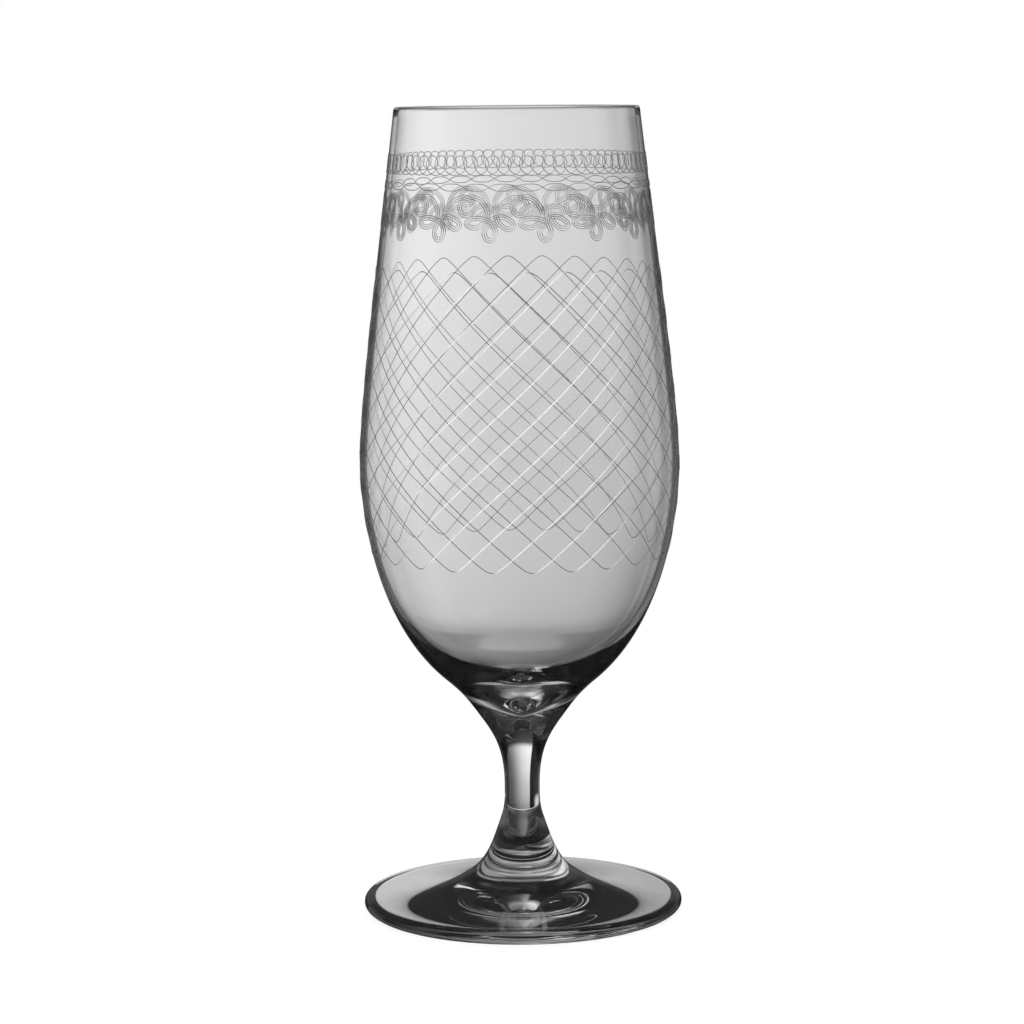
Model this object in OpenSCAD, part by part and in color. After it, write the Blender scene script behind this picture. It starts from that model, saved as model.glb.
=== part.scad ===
// Footed beer glass: a thin blown bowl with a heavy base, a drawn stem and a
// low conical foot, fused end to end. Millimetres, +Z up, and the origin is
// the middle of the ring that the glass stands on.

/* [Bowl] */
// Height of the bowl, from the end of the stem to the rim
bowl_h = 148; // [125:0.5:175]
// Outer radius at the rim
rim_r = 29.4; // [26:0.1:34]
// How far the side leans inwards at the rim, in degrees
rim_lean = 6.6; // [0:0.1:9]
// Wall thickness at the rim
rim_wall = 1.3; // [1:0.05:2]
// Outer radius at the widest place
belly_r = 38.6; // [35:0.05:43]
// Height of the widest place above the end of the stem
belly_up = 62.5; // [52:0.5:75]
// Wall thickness at the widest place
belly_wall = 1.85; // [1.2:0.05:2.6]
// Outer radius where the flare of the base turns into the bowl's side
turn_r = 18.6; // [16:0.1:21]
// Height of that turn above the end of the stem
turn_up = 10; // [8:0.1:13]
// Slope of the outside at the turn, in degrees above level
turn_slope = 40; // [35:1:48]
// Inner radius where the inside turns from its side to its pointed bottom
shoulder_r = 20.05; // [18:0.05:21.5]
// Height of that place above the end of the stem
shoulder_up = 16; // [15:0.5:19]
// Slope of the inside there, in degrees above level
shoulder_slope = 37; // [30:1:44]
// Thickness of solid glass under the inside's lowest point
base_t = 3.6; // [3:0.1:8]

/* [Stem] */
// Length of the stem, between the foot and the bowl
stem_h = 24.5; // [20:0.5:32]
// Outer radius where the stem meets the bowl
head_r = 9.75; // [8.5:0.05:11]
// Slope of the outside there, in degrees above level
head_slope = 54; // [48:1:60]
// Outer radius at the thinnest place
waist_r = 4.3; // [3.6:0.05:4.8]
// Height of the thinnest place above the foot
waist_up = 7.35; // [5:0.05:10]
// Outer radius where the stem meets the foot
neck_r = 5.15; // [4.9:0.05:6]
// Slope of the outside there, in degrees past level
neck_slope = 109; // [104:1:116]

/* [Foot] */
// Height of the foot, with the cone that rises to the stem
foot_h = 22.5; // [18:0.5:28]
// Radius of the foot at its widest
foot_r = 38.95; // [34:0.05:44]
// Height of the foot's rounded edge
edge_h = 3.1; // [2.6:0.1:4]
// Slope of the foot's top beside the edge, in degrees past level
brim_slope = 176; // [172:1:178]
// Width of the flat ring that the glass stands on
land_w = 2; // [1.5:0.1:3]
// How far the ring's outer side lies inside the edge
land_in = 1.1; // [0.8:0.1:1.5]
// Depth of the hollow under the foot
hollow_d = 0.5; // [0.2:0.05:1.2]

/* [Smoothness] */
// Points along each curved stretch of an outline
steps = 22; // [12:1:40]

/* [Hidden] */
$fn = 128;

// Heights of the two fused faces above the table
neck_z = foot_h;
head_z = foot_h + stem_h;

// Handle lengths of each stretch, as shares of its chord
brim_shares = [0.73, 0.345];
neck_shares = [0.36, 0.36];
draw_shares = [0.475, 0.325];
flare_shares = [0.39, 0.455];
side_shares = [0.397, 0.183];
lip_shares = [0.163, 0.391];
well_shares = [0.12, 0.3];
wall_shares = [0.36, 0.15];

// Rounded tops and edges
rim_round = rim_wall / 2;
edge_round = edge_h / 2;

// Points where the stretches of the outside meet, as [radius, height]
brim_p = [foot_r - edge_round, edge_h];
neck_p = [neck_r, neck_z];
waist_p = [waist_r, neck_z + waist_up];
head_p = [head_r, head_z];
turn_p = [turn_r, head_z + turn_up];
belly_p = [belly_r, head_z + belly_up];
rim_p = [rim_r, head_z + bowl_h - rim_round];

// The same for the inside of the bowl
well_p = [0, head_z + base_t];
shoulder_p = [shoulder_r, head_z + shoulder_up];
inner_belly_p = [belly_r - belly_wall, belly_p[1]];
inner_rim_p = [rim_r - rim_wall, rim_p[1]];

function heading(a) = [cos(a), sin(a)];

// A curve that leaves p at angle pa and reaches q at angle qa
function stretch(p, pa, q, qa, shares) =
    let (chord = norm(q - p),
         a = p + heading(pa) * chord * shares[0],
         b = q - heading(qa) * chord * shares[1])
    [for (i = [0 : steps]) let (t = i / steps, u = 1 - t)
        p * pow(u, 3) + a * 3 * t * pow(u, 2) + b * 3 * pow(t, 2) * u + q * pow(t, 3)];

// An arc about a centre, from one angle to another, open at both ends
function arc_points(centre, rx, ry, from_a, to_a, count) =
    [for (i = [1 : count - 1]) let (a = from_a + (to_a - from_a) * i / count)
        centre + [rx * cos(a), ry * sin(a)]];

function reversed(points) = [for (i = [len(points) - 1 : -1 : 0]) points[i]];

// All but the first point, where a stretch starts on the last one's end
function after_first(points) = [for (i = [1 : len(points) - 1]) points[i]];

// Outside of the bowl, from the stem's end up to the rim
function bowl_outside() = concat(
    stretch(head_p, head_slope, turn_p, turn_slope, flare_shares),
    after_first(stretch(turn_p, turn_slope, belly_p, 90, side_shares)),
    after_first(stretch(belly_p, 90, rim_p, 90 + rim_lean, lip_shares)));

// Inside of the bowl, from its lowest point up to the rim
function bowl_inside() = concat(
    stretch(well_p, 0, shoulder_p, shoulder_slope, well_shares),
    after_first(stretch(shoulder_p, shoulder_slope, inner_belly_p, 90, wall_shares)),
    after_first(stretch(inner_belly_p, 90, inner_rim_p, 90 + rim_lean, lip_shares)));

function rim_top() =
    arc_points(rim_p - [rim_round, 0], rim_round, rim_round, 0, 180, 12);

module bowl() {
    color([0.93, 0.94, 0.94, 0.4])
        rotate_extrude()
            polygon(concat([[0, head_z]], bowl_outside(), rim_top(), reversed(bowl_inside())));
}

function stem_side() = concat(
    stretch(neck_p, neck_slope, waist_p, 90, neck_shares),
    after_first(stretch(waist_p, 90, head_p, head_slope, draw_shares)));

module stem() {
    color([0.86, 0.87, 0.88, 0.55])
        rotate_extrude()
            polygon(concat([[0, neck_z]], stem_side(), [[0, head_z]]));
}

// Underside: a shallow dome that ends at the flat ring
land_out_r = foot_r - land_in;
land_in_r = land_out_r - land_w;

function underside() = [for (i = [0 : steps]) let (t = i / steps)
    [land_in_r * t, hollow_d * (1 - pow(t, 2))]];

// Edge: half round, drawn from the flat ring round to the foot's top
function edge_points() = arc_points([foot_r - edge_round, edge_round], edge_round, edge_round, -90, 90, 16);

module foot() {
    color([0.9, 0.91, 0.92, 0.45])
        rotate_extrude()
            polygon(concat(underside(), [[land_out_r, 0]], edge_points(),
                stretch(brim_p, brim_slope, neck_p, neck_slope, brim_shares), [[0, neck_z]]));
}

bowl();
stem();
foot();
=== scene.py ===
# %% [markdown]
# # A footed beer glass with etched bands
#
# The real thing is clear glass: a thin blown bowl on a short drawn stem and
# a low conical foot, fused into one. Four bands of very fine lines run
# round the bowl. The solid model gives the frame, so it is loaded first.

# %% Load the solid model
from math import asin, cos, pi, radians, sin, tau

import bmesh
import bpy
from mathutils import Matrix, Vector


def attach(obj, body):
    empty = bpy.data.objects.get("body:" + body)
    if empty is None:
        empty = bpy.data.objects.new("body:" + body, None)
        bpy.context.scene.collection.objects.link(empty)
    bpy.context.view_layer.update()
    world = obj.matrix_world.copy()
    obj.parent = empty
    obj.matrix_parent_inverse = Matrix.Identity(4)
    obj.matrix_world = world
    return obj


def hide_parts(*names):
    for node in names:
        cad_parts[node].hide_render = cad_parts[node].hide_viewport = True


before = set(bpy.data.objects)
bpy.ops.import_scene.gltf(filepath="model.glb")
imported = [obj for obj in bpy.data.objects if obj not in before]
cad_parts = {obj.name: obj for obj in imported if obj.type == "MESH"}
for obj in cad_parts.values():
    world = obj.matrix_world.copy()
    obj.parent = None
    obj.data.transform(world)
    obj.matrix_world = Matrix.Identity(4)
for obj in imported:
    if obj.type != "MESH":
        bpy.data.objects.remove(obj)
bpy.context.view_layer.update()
MM = 0.001

# %% [markdown]
# ## The camera
#
# The photograph was taken with a long lens a little above the rim, looking
# slightly down, so the rim is almost a line and the foot is a flat ellipse.
# The camera is also turned by half a degree, as the photograph is.

# %% Camera
CAMERA_AT = (-1.93 * MM, -786 * MM, 203 * MM)
LOOKS_DOWN, TURNED_BY = 7.65, -0.5


def placed(name, data):
    """A new object in the scene, at the origin, unturned and unscaled."""
    thing = bpy.data.objects.new(name, data)
    bpy.context.scene.collection.objects.link(thing)
    return thing


camera_data = bpy.data.cameras.new("camera")
camera_data.sensor_width = 36
camera_data.lens = 115.1
camera_data.clip_start = 0.01
camera = placed("camera", camera_data)
camera.matrix_world = (
    Matrix.Translation(CAMERA_AT)
    @ Matrix.Rotation(radians(90 - LOOKS_DOWN), 4, "X")
    @ Matrix.Rotation(radians(TURNED_BY), 4, "Z")
)
bpy.context.scene.camera = camera
bpy.context.scene.view_settings.view_transform = "Standard"
print("camera at", tuple(round(v, 3) for v in camera.matrix_world.translation))

# %% [markdown]
# ## Curves for the outlines
#
# Blown and drawn glass has no flat places: its outline is a few long smooth
# curves. A curve here leaves one point at a given slope and reaches the next
# at another, with handles whose lengths are shares of the straight distance.
# The same points shape the solid model, so the two agree.

# %% Helpers for outlines
STEPS, LONG_STEPS, BRIM_STEPS = 48, 64, 80
ONE_POINT = 1e-6


def heading(degrees):
    return Vector((cos(radians(degrees)), sin(radians(degrees))))


def stretch(p, p_slope, q, q_slope, shares, steps=STEPS):
    """A curve from p to q with a slope at each end, in degrees."""
    p, q = Vector(p), Vector(q)
    chord = (q - p).length
    a = p + heading(p_slope) * chord * shares[0]
    b = q - heading(q_slope) * chord * shares[1]
    curve = []
    for i in range(steps + 1):
        t = i / steps
        u = 1 - t
        curve.append(p * u**3 + a * 3 * t * u**2 + b * 3 * t**2 * u + q * t**3)
    return curve


def arc(centre, radius, start, end, steps=16):
    """Points on an arc, without its two ends."""
    angles = [start + (end - start) * i / steps for i in range(1, steps)]
    return [Vector(centre) + heading(angle) * radius for angle in angles]


def joined(*curves):
    """One chain of points, without the doubles where curves meet."""
    points = []
    for curve in curves:
        for point in curve:
            if not points or (point - points[-1]).length > ONE_POINT:
                points.append(point)
    return points


def fused_face(radius, height, steps=4):
    """Points from the axis out to the edge of a level face."""
    return [Vector((radius * i / steps, height)) for i in range(steps + 1)]


# %% Sizes of the glass, in millimetres and degrees
foot_h, stem_h, bowl_h = 22.5, 24.5, 148
neck_z = foot_h
head_z = foot_h + stem_h
rim_z = head_z + bowl_h

rim_wall, belly_wall, base_t = 1.3, 1.85, 3.6
brim_slope, neck_slope, head_slope, turn_slope = 176, 109, 54, 40
shoulder_slope, upright, rim_slope = 37, 90, 96.6
neck = (5.15, neck_z)
waist = (4.3, neck_z + 7.35)
head = (9.75, head_z)
turn = (18.6, head_z + 10)
belly = (38.6, head_z + 62.5)
rim = (29.4, rim_z - rim_wall / 2)
inner_belly = (belly[0] - belly_wall, belly[1])
inner_rim = (rim[0] - rim_wall, rim[1])
well = (0, head_z + base_t)
shoulder = (20.05, head_z + 16)

foot_r, edge_h, land_w, land_in, hollow_d = 38.95, 3.1, 2, 1.1, 0.5
edge_round = edge_h / 2
brim = (foot_r - edge_round, edge_h)
edge_centre = (foot_r - edge_round, edge_round)
print("height", rim_z, "mm, belly", 2 * belly[0], "mm, foot", 2 * foot_r, "mm")

# %% [markdown]
# ## Turning an outline into a solid
#
# A glass is round because it was turned on an iron, and the same idea makes
# the mesh: the outline is a chain of edges that is spun round the axis. The
# spin merges its last step with its first, the points on the axis are merged
# into poles, and the faces are pointed outwards. A Screw modifier could turn
# the outline too, but here the faces are also sorted: those where two pieces
# are fused, and those of the lip, get materials of their own.

# %% Helper for turned pieces
AROUND = 192
WELD = 1e-7
SEAM, LIP = 1, 2


def new_piece(name, mesh_tool):
    mesh = bpy.data.meshes.new(name)
    mesh_tool.to_mesh(mesh)
    mesh_tool.free()
    return placed(name, mesh)


def turned(name, outline, seams=(), lip_from=None):
    tool = bmesh.new()
    points = [tool.verts.new((p.x * MM, 0, p.y * MM)) for p in outline]
    edges = [tool.edges.new(pair) for pair in zip(points, points[1:])]
    bmesh.ops.spin(
        tool, geom=points + edges, axis=(0, 0, 1), cent=(0, 0, 0),
        angle=tau, steps=AROUND, use_merge=True,
    )
    bmesh.ops.remove_doubles(tool, verts=tool.verts, dist=WELD)
    bmesh.ops.recalc_face_normals(tool, faces=tool.faces)
    for face in tool.faces:
        heights = [v.co.z for v in face.verts]
        low, high = min(heights), max(heights)
        face.smooth = True
        if high - low < WELD and any(abs(low - z * MM) < WELD for z in seams):
            face.material_index = SEAM
            face.smooth = False
        if lip_from and low > lip_from * MM - WELD:
            face.material_index = LIP
    for edge in tool.edges:
        edge.smooth = sum(face.material_index == SEAM for face in edge.link_faces) != 1
    open_edges = sum(1 for edge in tool.edges if len(edge.link_faces) != 2)
    volume = tool.calc_volume(signed=True) * 1e6
    print(f"{name}: {len(tool.faces)} faces, {open_edges} open edges, {volume:.2f} ml of glass")
    return new_piece(name, tool)


# %% [markdown]
# ## The bowl
#
# The bowl is one closed shell. An even wall could come from a Solidify
# modifier, but this one grows from a thin rim to a heavy base with a pointed
# well, so the inside has curves of its own. The outline starts in the middle
# of the face that is fused to the stem, follows the outside up to the
# fire-polished rim, which is half round, and comes down the inside to the
# well's lowest point.

# %% Bowl
lip_shares = (0.163, 0.391)
bowl_outside = joined(
    stretch(head, head_slope, turn, turn_slope, (0.39, 0.455)),
    stretch(turn, turn_slope, belly, upright, (0.397, 0.183), LONG_STEPS),
    stretch(belly, upright, rim, rim_slope, lip_shares),
)
bowl_inside = joined(
    stretch(well, 0, shoulder, shoulder_slope, (0.12, 0.3)),
    stretch(shoulder, shoulder_slope, inner_belly, upright, (0.36, 0.15), LONG_STEPS),
    stretch(inner_belly, upright, inner_rim, rim_slope, lip_shares),
)
rim_centre = (rim[0] - rim_wall / 2, rim[1])
rim_round = arc(rim_centre, rim_wall / 2, 0, 180)
bowl = turned(
    "bowl_glass",
    joined(fused_face(*head), bowl_outside, rim_round, bowl_inside[::-1]),
    seams=(head_z,), lip_from=rim[1],
)

# %% [markdown]
# ## The stem and the foot
#
# The stem was drawn out of the bowl's base while the glass was hot, so its
# outline runs on from the bowl's without a step. The foot carries on again
# from the stem. Underneath, the foot is a shallow dome, and only a narrow
# ring near its edge touches the table.

# %% Stem
stem_side = joined(
    stretch(neck, neck_slope, waist, upright, (0.36, 0.36)),
    stretch(waist, upright, head, head_slope, (0.475, 0.325)),
)
stem = turned(
    "stem_glass",
    joined(fused_face(*neck), stem_side, fused_face(*head)[::-1]),
    seams=(neck_z, head_z),
)

# %% Foot
DOME_STEPS = 40
land_out = foot_r - land_in
land_inner = land_out - land_w
underside = [
    Vector((land_inner * i / DOME_STEPS, hollow_d * (1 - (i / DOME_STEPS) ** 2)))
    for i in range(DOME_STEPS + 1)
]
edge = [Vector((land_out, 0))] + arc(edge_centre, edge_round, -90, 90)
foot_top = stretch(brim, brim_slope, neck, neck_slope, (0.73, 0.345), BRIM_STEPS)
foot = turned(
    "foot_glass",
    joined(underside, edge, foot_top, fused_face(*neck)[::-1]),
    seams=(neck_z,),
)

# %% [markdown]
# ## The etched bands
#
# A machine drew the lines round and round the waxed bowl with a needle, and
# acid bit them into the glass. So each band is a few long closed strands on
# the bowl's skin, about a fifth of a millimetre wide. They could be painted,
# but a painted line this thin is blurred from near by, and a curve with a
# thin bevel stays sharp. It lies half sunk in the glass. A strand is a list
# of (turn in degrees, height in millimetres): turn 0 faces the camera and
# grows to the right.
#
# A scratch that leans one way catches more light than one that leans the
# other. That light is painted into the lines' grey: each point keeps a level,
# by how steeply its line rises or falls to the right, a painted glint where it
# rises and painted shade where it falls, and the lattice's rising strokes
# also swell. The levels fall towards the bowl's sides, which face no lamp:
# painted shade there. The half of a line that lies in the glass keeps one
# painted level of its own, which falls there less.

# %% Helpers for etched lines
LINE_WIDTH = 0.19
PROUD = 0.02
# Painted light on the etched lines: a level stands for how much light a part of a line catches.
SUNK_PAINTED_LIGHT = 0.37
PROUD_PAINTED_LIGHT_AT_SIDES, SUNK_PAINTED_LIGHT_AT_SIDES = 0.15, 0.5


def skin_radius(height):
    for low, high in zip(bowl_outside, bowl_outside[1:]):
        if low.y <= height <= high.y:
            return low.x + (high.x - low.x) * (height - low.y) / (high.y - low.y)
    raise ValueError(f"no glass at {height} mm")


def on_skin(turn, height):
    r = skin_radius(height) + PROUD
    return Vector((r * sin(radians(turn)), -r * cos(radians(turn)), height)) * MM


def leanings(path):
    """From -1, falling to the right, to 1, rising, at each point of a closed path."""
    found = []
    for before, here, after in zip(path[-1:] + path, path, path[1:] + path[:1]):
        step = after - before
        to_right = Vector((-here.y, here.x, 0)).normalized()
        found.append(step.z / step.length * (1 if step.dot(to_right) > 0 else -1))
    return found


def facing(turn):
    """The share of painted light on an etched line: 1 up to 25 degrees from the front or back,
    and 0 from 58 degrees on.
    """
    return min(max((cos(radians(2 * turn)) + 0.45) / 1.1, 0), 1)


def faded(share, at_sides):
    """A part of the full painted light, from 1 in front and behind down to at_sides."""
    return at_sides + (1 - at_sides) * share


def mesh_of(curve):
    drawn = placed(curve.name + "_drawn", curve)
    bpy.context.view_layer.update()
    graph = bpy.context.evaluated_depsgraph_get()
    mesh = bpy.data.meshes.new_from_object(drawn.evaluated_get(graph))
    bpy.data.objects.remove(drawn)
    mesh.materials.clear()
    return mesh


def etched(name, strands, level=0.16, painted_glint_by_lean=0.12, swell=0.0):
    curve = bpy.data.curves.new(name, "CURVE")
    curve.dimensions = "3D"
    curve.bevel_depth = LINE_WIDTH / 2 * MM
    curve.bevel_resolution = 0
    centres, proud_painted_light, sunk_painted_light = [], [], []
    for strand in strands:
        path = [on_skin(turn, height) for turn, height in strand]
        leans = leanings(path)
        shares = [facing(turn) for turn, _ in strand]
        spline = curve.splines.new("POLY")
        spline.points.add(len(path) - 1)
        spline.use_cyclic_u = True
        for point, place, lean, share in zip(spline.points, path, leans, shares):
            point.co = (*place, 1)
            point.radius = 1 + swell * max(lean, 0) * share
        centres += path
        # painted glint where a line rises to the right, painted shade where it falls, and painted
        # shade towards the bowl's sides
        proud_painted_light += [
            (level + painted_glint_by_lean * lean) * faded(share, PROUD_PAINTED_LIGHT_AT_SIDES)
            for lean, share in zip(leans, shares)
        ]
        # the sunk half: one painted level, with painted shade towards the sides
        sunk_painted_light += [SUNK_PAINTED_LIGHT * faded(share, SUNK_PAINTED_LIGHT_AT_SIDES) for share in shares]
    mesh = mesh_of(curve)
    mesh.name = name
    around = len(mesh.vertices) // len(centres)
    values = []
    for vertex in mesh.vertices:
        i = vertex.index // around
        proud = vertex.co.xy.length > centres[i].xy.length
        values.append((proud_painted_light if proud else sunk_painted_light)[i])
    # the painted light is kept on each point as an attribute for the material
    mesh.attributes.new("etch_painted_light", "FLOAT", "POINT").data.foreach_set("value", values)
    faces = len(mesh.polygons)
    print(f"{name}: {len(strands)} strands, {faces} faces, {around} corners round a line")
    return placed(name, mesh)


# %% [markdown]
# The band under the rim is a chain of overlapping loops, as a pen draws them
# in a row. The braid below it is two waves that cross.

# %% Loop chain and braid
LOOPS, LOOP_STEPS = 74, 28
LOOP_Z, LOOP_R, LOOP_REACH, LOOP_START = 181.75, 2.25, 5.5, -0.9
loop_chain = []
for i in range(LOOPS * LOOP_STEPS):
    t = tau * i / LOOP_STEPS
    turned_by = (t - LOOP_REACH * sin(t)) * 360 / (LOOPS * tau) + LOOP_START
    loop_chain.append((turned_by, LOOP_Z + LOOP_R * cos(t)))
loop_band = etched("etched_loop_band", [loop_chain])

WAVES, WAVE_STEPS = 16, 40
BRAID_Z, BRAID_SWING, BRAID_START = 176.75, 0.9, -0.8
braid = []
for side in (1, -1):
    wave = []
    for i in range(WAVES * WAVE_STEPS):
        t = tau * i / WAVE_STEPS
        turned_by = i * 360 / (WAVES * WAVE_STEPS) + BRAID_START
        wave.append((turned_by, BRAID_Z + BRAID_SWING * side * (sin(t) + 0.1 * sin(3 * t))))
    braid.append(wave)
braid_band = etched("etched_braid_band", braid)

# %% [markdown]
# The lace is one long looped line with a hanging drop in each unit, drawn
# with three needles side by side. One unit is given by a few points, in
# millimetres to the right of the drop and below the top of the band. A
# smooth curve goes through them, and two more run beside it.

# %% Lace
LACE_UNITS = 16
LACE_WIDTH = 12.35
LACE_TOP = 176.4
LACE_GAP = 0.5
LACE_START = 11.25
lace_unit = [Vector(point) for point in (
    (1.3, 5.8), (1.6, 4.6), (2.5, 3.5), (3.6, 2.7), (4.9, 2.1), (6.2, 1.9), (7.4, 2.3),
    (8.2, 3.3), (8.2, 4.6), (7.6, 5.7), (6.6, 6.0), (5.5, 5.5), (5.0, 4.3), (5.3, 3.2),
    (6.2, 2.3), (7.6, 1.8), (9.1, 2.1), (10.4, 3.0), (11.3, 4.3), (11.7, 5.6), (11.3, 6.9),
    (10.4, 8.1), (9.1, 8.8), (7.6, 8.6), (6.8, 7.9), (7.2, 7.1), (8.4, 6.7), (9.9, 6.7),
    (11.3, 7.0), (12.7, 7.8), (13.4, 9.1), (13.5, 10.2), (13.0, 11.3), (12.3, 11.7),
    (11.5, 11.3), (11.0, 10.1), (11.3, 8.8), (11.9, 7.8), (12.9, 6.8), (14.2, 6.3),
    (15.5, 6.5), (16.8, 7.2), (17.5, 8.2), (17.1, 9.0), (16.0, 9.1), (14.7, 8.2), (13.9, 7.0),
)]
knots = [
    point + Vector((LACE_WIDTH * unit, 0)) for unit in range(LACE_UNITS) for point in lace_unit
]


def smooth_line(knots, length, parts=4):
    """A smooth curve through knots that repeat after a length to the right."""
    shift = Vector((length, 0))
    ring = [knots[-1] - shift] + knots + [knots[0] + shift, knots[1] + shift]
    line = []
    for a, b, c, d in zip(ring, ring[1:], ring[2:], ring[3:]):
        for i in range(parts):
            t = i / parts
            line.append((
                b * 2 + (c - a) * t + (a * 2 - b * 5 + c * 4 - d) * t**2
                + (b * 3 - a - c * 3 + d) * t**3
            ) / 2)
    return line


def beside(line, length, gap):
    """The same closed line, moved sideways."""
    shift = Vector((length, 0))
    moved = []
    for before, here, after in zip([line[-1] - shift] + line, line, line[1:] + [line[0] + shift]):
        along = (after - before).normalized()
        moved.append(here + Vector((-along.y, along.x)) * gap)
    return moved


lace_length = LACE_WIDTH * LACE_UNITS
middle_line = smooth_line(knots, lace_length)
lace = []
for gap in (-LACE_GAP, 0, LACE_GAP):
    line = beside(middle_line, lace_length, gap) if gap else middle_line
    lace.append([
        (LACE_START + 360 * p.x / lace_length, min(LACE_TOP - p.y, LACE_TOP)) for p in line
    ])
lace_band = etched("etched_lace_band", lace)

# %% [markdown]
# The tall lattice covers the belly. Each strand sinks and climbs in even
# slopes over two thirds of a turn, with tight round crests, and closes after
# two turns. Points are set closer together near the crests.

# %% Lattice
CREST_Z, TROUGH_Z = 157.3, 87.8
STRANDS, HALF_WAVES, HALF_STEPS = 8, 6, 56
HALF_WAVE, STRAND_GAP, LATTICE_START = 120, 15, 4.2
SHARPNESS, CROWDING = 0.997, 0.92
lattice = []
for strand in range(STRANDS):
    path = []
    for i in range(HALF_WAVES * HALF_STEPS):
        t = (i % HALF_STEPS) / HALF_STEPS
        phase = i // HALF_STEPS + t - CROWDING * sin(tau * t) / tau
        rise = asin(SHARPNESS * cos(pi * phase)) / asin(SHARPNESS)
        height = (CREST_Z + TROUGH_Z + (CREST_Z - TROUGH_Z) * rise) / 2
        path.append((LATTICE_START + STRAND_GAP * strand + HALF_WAVE * phase, height))
    lattice.append(path)
# rising strokes get a strong painted glint, falling ones painted shade
lattice_band = etched("etched_lattice", lattice, level=0.0, painted_glint_by_lean=1.0, swell=0.5)

# %% [markdown]
# ## Clear glass
#
# Glass needs little: full transmission, the right bending index and no
# roughness. Its form and the room round it do the rest. This glass is almost
# colourless, with a trace of grey that drifts a little from place to place.
# Three places need care:
#
# - The lip is so thin and round that light runs about in it until the
#   renderer gives it up, which would leave a black line. Its own material
#   lets half of the light straight past.
# - Where two pieces are fused there is no surface for light to meet, so the
#   two touching faces get a material that light passes straight through.
# - The etched lines are matt. Their level of painted light, painted glints
#   and painted shade, becomes their shade of grey.

# %% Glass materials


def principled(name, **values):
    material = bpy.data.materials.new(name)
    material.use_nodes = True
    shader = material.node_tree.nodes["Principled BSDF"]
    for socket, value in values.items():
        shader.inputs[socket.replace("_", " ")].default_value = value
    return material, shader


def uneven_group():
    """A level that drifts between two values over the surface."""
    group = bpy.data.node_groups.new("uneven_level", "ShaderNodeTree")
    for name, value in (("Scale", 100.0), ("Low", 0.9), ("High", 1.0)):
        socket = group.interface.new_socket(
            name, in_out="INPUT", socket_type="NodeSocketFloat"
        )
        socket.default_value = value
    group.interface.new_socket("Level", in_out="OUTPUT", socket_type="NodeSocketFloat")
    given, result = group.nodes.new("NodeGroupInput"), group.nodes.new("NodeGroupOutput")
    place = group.nodes.new("ShaderNodeTexCoord")
    noise = group.nodes.new("ShaderNodeTexNoise")
    noise.inputs["Detail"].default_value = 3
    spread = group.nodes.new("ShaderNodeMapRange")
    spread.inputs["From Min"].default_value = 0.3
    spread.inputs["From Max"].default_value = 0.7
    group.links.new(place.outputs["Object"], noise.inputs["Vector"])
    group.links.new(given.outputs["Scale"], noise.inputs["Scale"])
    group.links.new(noise.outputs["Fac"], spread.inputs["Value"])
    group.links.new(given.outputs["Low"], spread.inputs["To Min"])
    group.links.new(given.outputs["High"], spread.inputs["To Max"])
    group.links.new(spread.outputs["Result"], result.inputs["Level"])
    return group


uneven = uneven_group()


def uneven_level(material, scale, low, high):
    node = material.node_tree.nodes.new("ShaderNodeGroup")
    node.node_tree = uneven
    for socket, value in zip(node.inputs, (scale, low, high)):
        socket.default_value = value
    return node.outputs["Level"]


def clear_glass(name, **values):
    material, shader = principled(
        name, Roughness=0.0, IOR=1.5, Transmission_Weight=0.996, **values
    )
    grey = uneven_level(material, scale=55, low=0.978, high=0.992)
    material.node_tree.links.new(grey, shader.inputs["Base Color"])
    return material


glass = clear_glass("clear_glass")
lip = clear_glass("fire_polished_lip", Alpha=0.5)
fused, _ = principled("fused_seam", Alpha=0.0, Roughness=1.0)
for piece in (bowl, stem, foot):
    piece.data.materials.append(glass)
    piece.data.materials.append(fused)
bowl.data.materials.append(lip)

# %% Etched line material
# The grey of the lines is painted light: the kept level's painted glints and painted shade, times
# a grey that drifts at random.
etching, etching_shader = principled("etched_line", Specular_IOR_Level=0.25)
nodes, links = etching.node_tree.nodes, etching.node_tree.links
kept_painted_light = nodes.new("ShaderNodeAttribute")
kept_painted_light.attribute_name = "etch_painted_light"
shade = nodes.new("ShaderNodeMapRange")
for socket, value in (("From Min", 0.1), ("From Max", 0.55), ("To Min", 0.12), ("To Max", 0.97)):
    shade.inputs[socket].default_value = value
links.new(kept_painted_light.outputs["Fac"], shade.inputs["Value"])
# painted light times a random drift
painted_light_with_drift = nodes.new("ShaderNodeMath")
painted_light_with_drift.operation = "MULTIPLY"
links.new(shade.outputs["Result"], painted_light_with_drift.inputs[0])
links.new(uneven_level(etching, scale=900, low=0.85, high=1.12), painted_light_with_drift.inputs[1])
links.new(painted_light_with_drift.outputs[0], etching_shader.inputs["Base Color"])
roughness = uneven_level(etching, scale=2500, low=0.6, high=0.85)
links.new(roughness, etching_shader.inputs["Roughness"])
bands = (loop_band, braid_band, lace_band, lattice_band)
for piece in bands:
    piece.data.materials.append(etching)
print("materials:", ", ".join(material.name for material in (glass, lip, fused, etching)))

# %% [markdown]
# ## Ride on the frame
#
# Every piece rides on the one rigid body. The three glass pieces take the
# places of the solid model's nodes, and the etched lines belong to the bowl.

# %% Ride on the frame
glass_pieces = (
    (bowl, "bowl", "bowl_glass"),
    (stem, "stem", "stem_glass"),
    (foot, "foot", "foot_glass"),
)
for piece, node, slot in glass_pieces:
    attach(piece, "root")
    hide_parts(node)
for piece in bands:
    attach(piece, "root")
print("riding on root:", len(glass_pieces) + len(bands), "pieces")

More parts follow.
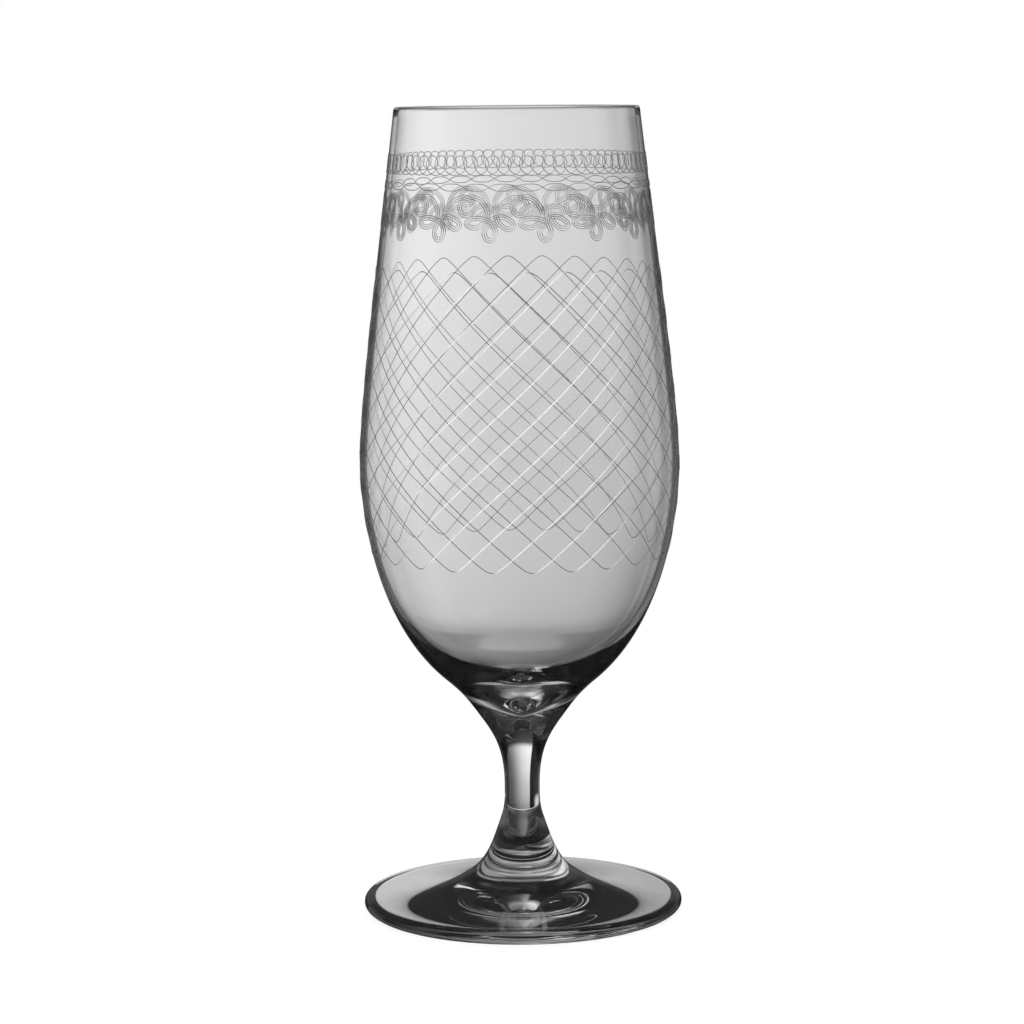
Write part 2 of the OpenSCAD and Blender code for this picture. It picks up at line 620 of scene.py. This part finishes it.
# %% [markdown]
# ## The studio
#
# Clear glass has no look of its own: it shows what stands round it. Lamps
# and cards could be set up as objects, as in a real studio, but the thin
# bowl and the solid base each need a room of their own. So the world's
# brightness depends on the direction a ray leaves in, and on what the ray
# met on its way. What the camera sees directly is plain white.
#
# A direction is an azimuth and an elevation in degrees. Azimuth 0 lies
# behind the glass as the camera looks, and 90 to its right. A ramp gives the
# brightness along one of them, and the product of two ramps is a window or a
# lamp. Most lamps stand twice, at azimuths 0 and 135, so that the glass also
# looks right from behind.

# %% Helpers for the studio
world = bpy.data.worlds.new("studio")
bpy.context.scene.world = world
world.use_nodes = True
tree = world.node_tree
tree.nodes.clear()


def add(kind, **settings):
    node = tree.nodes.new(kind)
    for key, value in settings.items():
        setattr(node, key, value)
    return node


def feed(socket, value):
    """Give a socket a plain number or another node's output."""
    if isinstance(value, (int, float)):
        socket.default_value = value
    else:
        tree.links.new(value, socket)


def maths(operation, *values):
    node = add("ShaderNodeMath", operation=operation)
    for socket, value in zip(node.inputs, values):
        feed(socket, value)
    return node.outputs[0]


def product(first, *others):
    for other in others:
        first = maths("MULTIPLY", first, other)
    return first


def brightest(first, *others):
    for other in others:
        first = maths("MAXIMUM", first, other)
    return first


def blend(factor, first, second):
    node = add("ShaderNodeMix", data_type="FLOAT")
    for index, value in ((0, factor), (2, first), (3, second)):
        feed(node.inputs[index], value)
    return node.outputs[0]


def ramp(value, low, high, stops, interpolation="LINEAR"):
    """Brightness by a measure from low to high, with stops in its own units."""
    share = maths("DIVIDE", maths("SUBTRACT", value, low), high - low)
    node = add("ShaderNodeValToRGB")
    node.color_ramp.interpolation = interpolation
    elements = node.color_ramp.elements
    while len(elements) < len(stops):
        elements.new(0.5)
    for element, (place, level) in zip(elements, stops):
        element.position = (place - low) / (high - low)
        element.color = (level, level, level, 1)
    tree.links.new(share, node.inputs[0])
    return node.outputs[0]


def folded(angle, part):
    """The angle from the middle of the part of a turn that it falls in."""
    shifted = maths("FLOORED_MODULO", maths("ADD", angle, part / 2), part)
    return maths("SUBTRACT", shifted, part / 2)


direction = add("ShaderNodeTexCoord").outputs["Generated"]
split = add("ShaderNodeSeparateXYZ")
tree.links.new(direction, split.inputs[0])
azimuth = maths("MULTIPLY", maths("ARCTAN2", split.outputs[0], split.outputs[1]), 360 / tau)
elevation = maths("MULTIPLY", maths("ARCSINE", split.outputs[2]), 360 / tau)


def by_azimuth(stops):
    return ramp(azimuth, -180, 180, stops)


def by_elevation(stops, measure=elevation):
    return ramp(measure, -90, 90, stops)


def set_round(shape, middles=((0, 1.0), (135, 1.0))):
    """One lamp's shape at several azimuths, each with a share of its light."""
    return by_azimuth([
        (middle + place, level * share) for middle, share in middles for place, level in shape
    ])


# %% [markdown]
# ### Straight through the bowl
#
# Light that was bent by both walls of the bowl comes from a soft white
# background that fades towards the table. To one side of every eighth of a
# turn it is darker, as the bowl in the photograph is. Far down, only a
# strip in each quarter stays bright. Away from the middle, which is within
# 24 degrees of azimuth 0, the same brightness lies 15 degrees lower.

# %% Straight through the bowl
SIDE_DROP, BOWL_LIGHT = 15.0, 1.2
aside = ramp(maths("ABSOLUTE", azimuth), 0, 180, [(24, 0.0), (38, 1.0)])
slanted = maths("ADD", elevation, maths("MULTIPLY", aside, SIDE_DROP))
behind_bowl = by_elevation([
    (-50, 0.20), (-42, 0.13), (-35, 0.17), (-24, 0.25), (-20.7, 0.28), (-19.6, 0.40),
    (-18, 0.42), (-17, 0.48), (-15, 0.56), (-14, 0.585), (-10, 0.64), (-8, 0.69), (-6, 0.73),
    (-4, 0.83), (0, 0.87), (10, 0.95), (28, 0.9), (45, 0.35), (90, 0.3),
], slanted)
to_one_side = ramp(folded(azimuth, 45), -22.5, 22.5, [
    (-22.5, 0.87), (-16, 1.0), (-4, 0.99), (-3, 0.97), (0, 0.83), (3, 0.75), (4, 0.70),
    (8, 0.55), (12, 0.47), (16, 0.5), (22.5, 0.87),
])
deep_down = by_elevation([(-46, 1.0), (-38, 0.0)])
floor_strip = ramp(folded(azimuth, 90), -45, 45, [
    (-15, 0.14), (-8, 1.0), (4, 1.0), (10, 0.8), (17, 0.3), (24, 0.14),
])
through_bowl = product(
    behind_bowl, to_one_side, BOWL_LIGHT, blend(deep_down, 1.0, floor_strip)
)
print("through the bowl:", len(tree.nodes), "nodes so far")

# %% [markdown]
# ### Straight through the stem and foot
#
# Solid glass turns the view upside down and squeezes the whole room into
# it, so here the background is three tall windows with one hard edge each,
# and a low window to the left. The tall ones stand at azimuths -90, 0 and
# 135, and between them the stem stays dark.

# %% Straight through the stem and foot
UNLIT, STEM_LIGHT = 0.02, 1.25
behind_stem = by_elevation([
    (-90, 0.1), (-60, 0.17), (-46, 0.22), (-23, 0.30), (-13, 0.48), (-6, 0.68), (9, 0.84),
    (13, 0.8), (17.5, 0.3), (20, 0.08), (30, 0.05), (90, 0.03),
], slanted)
windows = set_round([
    (-17.5, UNLIT), (-17, 1.0), (-9, 0.95), (0, 0.8), (8, 0.55), (17, 0.28), (28, 0.12),
    (42, UNLIT),
], middles=((-90, 1.0), (0, 1.0), (135, 1.0)))
low_window_side = by_azimuth([
    (-62, 0.0), (-61, 0.9), (-50, 1.0), (-40, 0.85), (-36, 0.4), (-31, 0.0),
])
low_window_height = by_elevation([
    (-90, 0.1), (-60, 0.3), (-52, 0.9), (-45, 0.9), (-38, 0.7), (-27, 0.8), (-18, 0.7),
    (-14, 0.0),
])
low_window = product(low_window_side, low_window_height)
through_stem = brightest(low_window, product(behind_stem, windows, STEM_LIGHT))
print("through the stem and foot:", len(tree.nodes), "nodes so far")

# %% [markdown]
# ### Mirrored on its way
#
# Light that was also mirrored, in a wall or in the thick base, comes from a
# darker room, which is what draws the edges and the base as dark shapes.
# The room is brightest a little below the horizon and to the left, and has
# tall windows too. A shutter dims both from 8 to 36 degrees up, so that the
# base stays dark. Lamps in the room draw the bright lines that the
# photograph shows: a slot and a crown high up for the base, and one at the
# horizon for the strips along the bowl's upper walls. Beside these strips
# the windows are dimmed.

# %% Mirrored once
DIM, LIT = 0.06, 0.8
LOW_WINDOW_SHARE = 0.6
room_by_side = by_azimuth([
    (-124, 0.1), (-121, DIM), (-105, DIM), (-102, 0.5), (-78, 0.5), (-76, DIM),
    (-60, DIM), (-57, LIT), (-33, LIT), (-31, 0.08), (-15, 0.05), (-10, 0.3), (10, 0.3),
    (15, 0.05), (31, 0.1), (33, 0.5), (70, 0.45), (75, 0.3), (102, 0.4), (104, DIM), (120, DIM),
    (123, 0.12), (148, 0.12), (150, DIM), (166, DIM), (168, 0.1),
])
room_by_height = by_elevation([
    (-90, 0.04), (-40, 0.05), (-28, 0.15), (-12, 0.9), (-3, 0.8), (3, 0.35), (8, 0.12),
    (15, 0.07), (30, 0.04), (90, 0.01),
])
room = product(room_by_side, room_by_height)

tall_window = [
    (-30, UNLIT), (-22, 0.9), (-12, 1.0), (0, 0.55), (12, 0.75), (20, 0.45), (32, UNLIT),
]
cut_window = [(-14.5, UNLIT), (-13.5, 0.98)] + tall_window[2:]
tall_windows = by_azimuth([
    (middle + place, max(level * share, UNLIT))
    for middle, share, shape in (
        (-90, 1.0, cut_window), (0, 1.0, tall_window), (135, 0.12, tall_window),
    )
    for place, level in shape
])
window_by_height = by_elevation([
    (-90, 0.1), (-70, 0.12), (-57, 0.04), (-45, 0.1), (-37, 0.25), (-32, 0.5), (-26, 0.75),
    (-18, 0.5), (-6, 0.3), (0, 0.05), (14, 0.04), (23, 0.12), (29, 0.06), (36, 0.03),
    (56, 0.08), (65, 0.02), (90, 0.0),
], slanted)
in_window = brightest(
    product(tall_windows, window_by_height), product(low_window, LOW_WINDOW_SHARE)
)
beside_wall = set_round([(-33, 1.0), (-30, 0.3), (-26, 0.1), (-11, 0.1), (-6, 1.0)])
shutter = by_elevation([(2, 1.0), (8, 0.25), (36, 0.25), (42, 1.0)])

high_slot = product(
    set_round([(-7, 0.0), (-5, 1.0), (-1, 0.8), (4, 0.3), (12, 0.15), (25, 0.0)]),
    by_elevation([(36, 0.0), (42, 0.25), (50, 0.4), (58, 0.5), (63, 0.0)]),
)
crown = product(
    set_round([
        (-44, 0.0), (-36, 0.8), (-17, 1.0), (-9, 0.8), (-2, 0.5), (8, 0.33), (34, 0.25),
        (44, 0.0),
    ]),
    by_elevation([(47, 0.0), (50, 0.4), (52, 0.95), (56, 0.55), (60, 0.0)]),
)
wall = product(
    set_round([
        (-32, 0.0), (-29, 0.9), (-12, 0.9), (-9, 0.0), (9, 0.0), (12, 0.4), (29, 0.45),
        (32, 0.0),
    ]),
    by_elevation([(-3.5, 0.0), (-2, 0.1), (-0.8, 0.45), (1, 1.0), (4, 0.5), (7, 0.0)]),
)
mirrored_once = brightest(
    product(room, shutter), product(in_window, beside_wall, shutter),
    high_slot, crown, wall,
)
print("mirrored once:", len(tree.nodes), "nodes so far")

# %% [markdown]
# Light that was mirrored more often shows the windows whole. A wide slot
# stands above the horizon, and two low lamps, the smile and the lip, draw
# the bright crescent at the bottom of the bowl.

# %% Mirrored more often
LEAST_LIGHT = 0.015
wide_slot = product(
    set_round([
        (-20, 0.0), (-17, 0.5), (-5, 0.5), (-4, 1.0), (0, 0.7), (5, 0.35), (12, 0.28),
        (20, 0.2), (32, 0.0),
    ], middles=((0, 1.0), (135, 0.2))),
    by_elevation([(-5, 0.0), (3, 0.5), (40, 0.5), (50, 0.0)]),
)
smile = product(
    set_round([
        (-48, 0.0), (-44, 0.8), (-40, 1.0), (-31, 1.0), (-25, 0.4), (-16, 0.1), (12, 0.1),
        (20, 0.35), (38, 0.35), (43, 0.0),
    ]),
    by_elevation([(-50, 0.0), (-46, 0.9), (-24, 0.9), (-14, 0.3), (-8, 0.0)]),
)
lower_lip = product(
    set_round([(-20, 0.0), (-15, 0.4), (14, 0.4), (20, 0.0)]),
    by_elevation([(-38, 0.0), (-32, 0.6), (-26, 1.0), (-20, 1.0), (-14, 0.2), (-8, 0.0)]),
)
mirrored_often = brightest(in_window, LEAST_LIGHT, wide_slot, smile, lower_lip)
print("mirrored more often:", len(tree.nodes), "nodes so far")

# %% [markdown]
# ### Joining the kinds of light
#
# Light Path tells what a ray met. The bowl's two walls bend it four times,
# the solid stem and foot only twice. A reflection on the outside of the
# glass shows half of the room and a faint haze. Matt surfaces, which are
# the etched lines and the table, are lit from the front and from behind.

# %% Join the kinds of light
ROOM_OUTSIDE = 0.5
MATT_DIM, MATT_LIT = 0.1, 1.35
light_path = add("ShaderNodeLightPath")
bends = light_path.outputs["Transmission Depth"]
mirrors = light_path.outputs["Glossy Depth"]


def at_least(count, measure):
    return maths("GREATER_THAN", measure, count - 0.5)


straight = blend(at_least(3, bends), through_stem, through_bowl)
haze = by_elevation([(2, 0.0), (6, 0.15), (14, 0.15), (20, 0.06)])
outside = maths("ADD", maths("MULTIPLY", room, ROOM_OUTSIDE), haze)
mirrored = blend(at_least(2, mirrors), mirrored_once, mirrored_often)
by_way = blend(at_least(1, mirrors), straight, blend(at_least(1, bends), outside, mirrored))

off_sides = maths("ABSOLUTE", maths("SUBTRACT", maths("ABSOLUTE", azimuth), 90))
matt_light = ramp(off_sides, 0, 90, [(10, MATT_DIM), (35, MATT_LIT)])
from_matt = at_least(1, light_path.outputs["Diffuse Depth"])
in_glass = maths(
    "MAXIMUM", light_path.outputs["Is Glossy Ray"], light_path.outputs["Is Transmission Ray"]
)
by_glass = maths("MULTIPLY", in_glass, maths("SUBTRACT", 1.0, from_matt))
strength = blend(by_glass, blend(from_matt, 1.0, matt_light), by_way)

background = add("ShaderNodeBackground")
background.inputs["Color"].default_value = (1, 1, 1, 1)
tree.links.new(strength, background.inputs["Strength"])
world_output = add("ShaderNodeOutputWorld")
tree.links.new(background.outputs[0], world_output.inputs[0])
print("studio world:", len(tree.nodes), "nodes")

# %% [markdown]
# ## The floor
#
# A white table top carries the glass. It shows a faint soft shadow, and far
# from the glass it fades into the white background, so no edge shows. Part
# of its white is a glow, which keeps it as bright as the background.
#
# Light that was bent or mirrored sees past the table to the studio. The
# one exception is straight through the foot, where the table glows a little
# less, and less still to the right, as it does in the photograph.

# %% Floor
FLOOR_R, FLOOR_Z = 0.45, -0.05 * MM
FADE_FROM, FADE_TO = 0.12, 0.30
TABLE_GLOW, MATT_PART = 1.12, 0.4
FOOT_REACH = 0.045
floor_tool = bmesh.new()
bmesh.ops.create_circle(
    floor_tool, cap_ends=True, segments=96, radius=FLOOR_R,
    matrix=Matrix.Translation((0, 0, FLOOR_Z)),
)
floor = new_piece("floor", floor_tool)
floor_material = bpy.data.materials.new("table_top")
floor_material.use_nodes = True
tree = floor_material.node_tree
tree.nodes.clear()


def glow(strength):
    node = add("ShaderNodeEmission")
    feed(node.inputs["Strength"], strength)
    return node.outputs[0]


def shader_blend(factor, first, second):
    node = add("ShaderNodeMixShader")
    for socket, value in zip(node.inputs, (factor, first, second)):
        feed(socket, value)
    return node.outputs[0]


where = add("ShaderNodeTexCoord").outputs["Object"]
from_middle = add("ShaderNodeVectorMath", operation="LENGTH")
tree.links.new(where, from_middle.inputs[0])
distance = from_middle.outputs["Value"]
white = add("ShaderNodeBsdfDiffuse")
white.inputs["Color"].default_value = (0.97, 0.97, 0.97, 1)
table_look = shader_blend(MATT_PART, glow(TABLE_GLOW), white.outputs[0])

across = add("ShaderNodeSeparateXYZ")
tree.links.new(where, across.inputs[0])
# painted shade: seen straight through the foot, the table is a glow that is darker to the right
painted_light_under_foot = ramp(across.outputs[0], -0.05, 0.05, [(-0.04, 0.95), (0.0, 0.85), (0.04, 0.6)])
ray = add("ShaderNodeLightPath")
through_foot = product(
    ray.outputs["Is Transmission Ray"],
    maths("LESS_THAN", ray.outputs["Transmission Depth"], 2.5),
    maths("LESS_THAN", ray.outputs["Glossy Depth"], 0.5),
    maths("LESS_THAN", distance, FOOT_REACH),
)
see_past = add("ShaderNodeBsdfTransparent")
other_look = shader_blend(through_foot, see_past.outputs[0], glow(painted_light_under_foot))

near = ramp(distance, 0.0, 0.5, [(FADE_FROM, 1.0), (FADE_TO, 0.0)], "EASE")
shown = maths("MULTIPLY", near, ray.outputs["Is Camera Ray"])
floor_output = add("ShaderNodeOutputMaterial")
tree.links.new(shader_blend(shown, other_look, table_look), floor_output.inputs[0])
floor.data.materials.append(floor_material)
print("table top", round(2 * FLOOR_R, 3), "m wide")

# %% Finish
bpy.context.view_layer.update()
